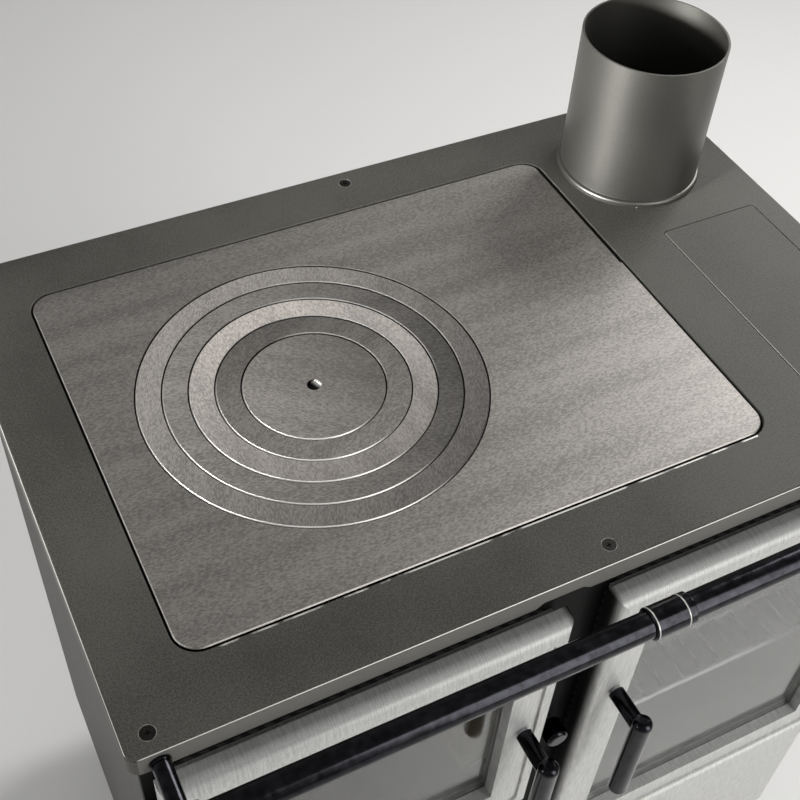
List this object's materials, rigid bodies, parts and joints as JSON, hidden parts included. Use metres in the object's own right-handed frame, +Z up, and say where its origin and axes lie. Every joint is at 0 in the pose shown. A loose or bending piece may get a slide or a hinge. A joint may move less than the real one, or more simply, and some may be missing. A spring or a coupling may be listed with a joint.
{
  "type": "wood-burning cookstove",
  "caption": "Freestanding wood-burning cookstove with a ringed cast-iron hotplate, glazed firebox and oven doors, drawers, a flue collar and a front rail.",
  "frame": {"origin": "on the floor, under the middle of the top", "axes": "+Z up, +X to the right of someone facing the stove, front at -Y"},
  "size_m": [0.78, 0.583, 1],
  "materials": {
    "frame_paint": "satin charcoal stove paint",
    "ground_iron": "surface-ground",
    "cast_grey": "textured metallic grey stove paint on castings",
    "panel_grey": "satin charcoal stove paint",
    "black_paint": "matt black stove paint",
    "chrome": "polished",
    "bright_steel": "plain drawn or zinc-plated steel",
    "black_iron": "as cast, fire-blackened",
    "enamel": "dark vitreous enamel",
    "firebrick": "pressed fireclay",
    "stove_glass": "clear ceramic stove glass",
    "rope_seal": "woven glass-fibre rope"
  },
  "bodies": {
    "stove_body": {"top_frame": "frame_paint", "hotplate_seat": "frame_paint", "hatch_ledge": "frame_paint", "flue_collar": "frame_paint", "top_screws": "bright_steel", "plinth": "black_paint", "base_plate": "black_paint", "left_side_panel": "panel_grey", "right_side_panel": "panel_grey", "back_panel": "panel_grey", "rear_rail": "bright_steel", "front_frame": "black_paint", "mid_shelf": "bright_steel", "firebox_shell": "black_iron", "ash_pit_floor": "black_iron", "grate_frame": "black_iron", "grate": "black_iron", "side_firebricks": "firebrick", "back_firebrick": "firebrick", "oven_liner": "enamel", "oven_runners": "bright_steel", "oven_rack": "bright_steel", "oven_tray": "enamel", "drawer_runners": "bright_steel", "damper_guide": "bright_steel", "rail_tube": "chrome", "rail_sleeve": "chrome", "rail_brackets": "chrome", "rail_bolts": "bright_steel", "firebox_hinge": "black_paint", "oven_hinge": "black_paint"},
    "hotplate": {"hotplate": "ground_iron"},
    "ring_1": {"cook_ring_1": "ground_iron"},
    "ring_2": {"cook_ring_2": "ground_iron"},
    "ring_3": {"cook_ring_3": "ground_iron"},
    "ring_4": {"cook_ring_4": "ground_iron"},
    "centre_disc": {"centre_disc": "ground_iron"},
    "soot_hatch": {"soot_hatch": "frame_paint"},
    "firebox_door": {"firebox_door": "cast_grey", "firebox_glass": "stove_glass", "firebox_glass_retainer": "bright_steel", "firebox_door_seal": "rope_seal"},
    "firebox_latch": {"firebox_door_handle": "chrome", "firebox_door_latch": "bright_steel"},
    "oven_door": {"oven_door": "cast_grey", "oven_glass": "stove_glass", "oven_glass_retainer": "bright_steel", "oven_door_seal": "rope_seal"},
    "oven_latch": {"oven_door_handle": "chrome", "oven_door_latch": "bright_steel"},
    "ash_drawer": {"ash_drawer_front": "cast_grey", "ash_pan": "bright_steel", "ash_drawer_handle": "chrome", "air_guides": "bright_steel"},
    "air_slide": {"air_slide": "chrome"},
    "wood_drawer": {"wood_drawer_front": "cast_grey", "wood_drawer_box": "bright_steel", "wood_drawer_handle": "chrome"},
    "damper": {"damper_slide": "bright_steel", "damper_knob": "chrome"}
  },
  "joints": [
    {"name": "hotplate_lift", "type": "slide", "parent": "stove_body", "child": "hotplate", "axis": [0, 0, 1], "range_m": [0, 0.08]},
    {"name": "ring_1_lift", "type": "slide", "parent": "hotplate", "child": "ring_1", "axis": [0, 0, 1], "range_m": [0, 0.08]},
    {"name": "ring_2_lift", "type": "slide", "parent": "ring_1", "child": "ring_2", "axis": [0, 0, 1], "range_m": [0, 0.08]},
    {"name": "ring_3_lift", "type": "slide", "parent": "ring_2", "child": "ring_3", "axis": [0, 0, 1], "range_m": [0, 0.08]},
    {"name": "ring_4_lift", "type": "slide", "parent": "ring_3", "child": "ring_4", "axis": [0, 0, 1], "range_m": [0, 0.08]},
    {"name": "centre_disc_lift", "type": "slide", "parent": "ring_4", "child": "centre_disc", "axis": [0, 0, 1], "range_m": [0, 0.08]},
    {"name": "soot_hatch_lift", "type": "slide", "parent": "stove_body", "child": "soot_hatch", "axis": [0, 0, 1], "range_m": [0, 0.06]},
    {"name": "firebox_door_swing", "type": "hinge", "parent": "stove_body", "child": "firebox_door", "pos_m": [-0.383, -0.266, 0.658], "axis": [0, 0, -1], "range_deg": [0, 105]},
    {"name": "oven_door_swing", "type": "hinge", "parent": "stove_body", "child": "oven_door", "pos_m": [0.383, -0.266, 0.573], "axis": [0, 0, 1], "range_deg": [0, 105]},
    {"name": "firebox_latch_turn", "type": "hinge", "parent": "firebox_door", "child": "firebox_latch", "pos_m": [-0.069, -0.268, 0.658], "axis": [0, 1, 0], "range_deg": [0, 80]},
    {"name": "oven_latch_turn", "type": "hinge", "parent": "oven_door", "child": "oven_latch", "pos_m": [0.025, -0.268, 0.658], "axis": [0, -1, 0], "range_deg": [0, 80]},
    {"name": "ash_drawer_slide", "type": "slide", "parent": "stove_body", "child": "ash_drawer", "axis": [0, -1, 0], "range_m": [0, 0.3]},
    {"name": "air_slide_shift", "type": "slide", "parent": "ash_drawer", "child": "air_slide", "axis": [1, 0, 0], "range_m": [-0.011, 0.011]},
    {"name": "wood_drawer_slide", "type": "slide", "parent": "stove_body", "child": "wood_drawer", "axis": [0, -1, 0], "range_m": [0, 0.38]},
    {"name": "damper_pull", "type": "slide", "parent": "stove_body", "child": "damper", "axis": [0, -1, 0], "range_m": [0, 0.06]}
  ]
}
